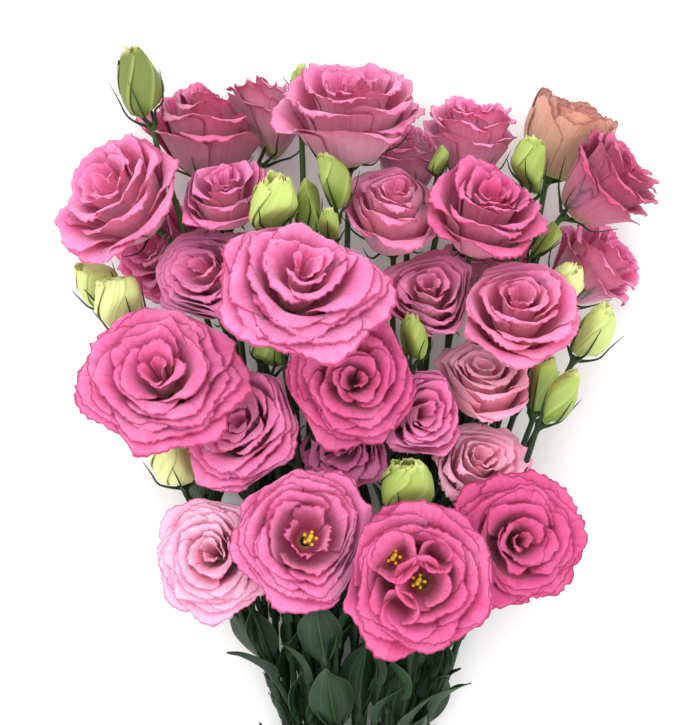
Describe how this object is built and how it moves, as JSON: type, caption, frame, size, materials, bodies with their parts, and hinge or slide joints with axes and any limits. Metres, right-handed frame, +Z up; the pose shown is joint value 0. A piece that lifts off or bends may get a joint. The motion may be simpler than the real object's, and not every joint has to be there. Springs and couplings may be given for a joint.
{
  "type": "lisianthus bouquet",
  "caption": "Tied bunch of cut double lisianthus lying flat: frilled pink blooms and green buds on branching leafy stems held by one elastic band.",
  "frame": {"origin": "on the surface the bunch lies on, under the middle of its overall length and width", "axes": "+Y along the stems from the cut ends to the blooms, +X across the fan to the right seen from above, +Z up from the surface"},
  "size_m": [0.3014, 0.5652, 0.144],
  "materials": {
    "petal_rose": "satin petal",
    "petal_pale": "satin petal",
    "petal_peach": "satin petal",
    "bud_green": "matt furled petal",
    "stem_green": "waxy plant tissue",
    "stamen_yellow": "matt pollen",
    "band_rubber": "matt elastic"
  },
  "bodies": {
    "root": {"spray_01": "stem_green", "spray_02": "stem_green", "spray_03": "stem_green", "spray_04": "stem_green", "spray_05": "stem_green", "spray_06": "stem_green", "spray_07": "stem_green", "spray_08": "stem_green", "spray_09": "stem_green", "spray_10": "stem_green", "spray_11": "stem_green", "spray_12": "stem_green", "spray_13": "stem_green", "bloom_01": "petal_rose", "bloom_02": "petal_rose", "bloom_03": "petal_rose", "bloom_04": "petal_rose", "bloom_05": "petal_peach", "bloom_06": "petal_rose", "bloom_07": "petal_rose", "bloom_08": "petal_rose", "bloom_09": "petal_rose", "bloom_10": "petal_rose", "bloom_11": "petal_rose", "bloom_12": "petal_rose", "bloom_13": "petal_rose", "bloom_14": "petal_rose", "bloom_15": "petal_rose", "bloom_16": "petal_rose", "bloom_17": "petal_rose", "bloom_18": "petal_rose", "bloom_19": "petal_rose", "bloom_20": "petal_pale", "bloom_21": "petal_pale", "bloom_22": "petal_pale", "bloom_23": "petal_rose", "stamens_23": "stamen_yellow", "bloom_24": "petal_rose", "bloom_25": "petal_rose", "stamens_25": "stamen_yellow", "bloom_26": "petal_rose", "bloom_27": "petal_rose", "bloom_28": "petal_rose", "bloom_29": "petal_rose", "bud_01": "bud_green", "bud_02": "bud_green", "bud_03": "bud_green", "bud_04": "bud_green", "bud_05": "bud_green", "bud_06": "bud_green", "bud_07": "bud_green", "bud_08": "bud_green", "bud_09": "bud_green", "bud_10": "bud_green", "bud_11": "bud_green", "bud_12": "bud_green", "bud_13": "bud_green", "bud_14": "bud_green", "bud_15": "bud_green", "band": "band_rubber"}
  },
  "joints": []
}
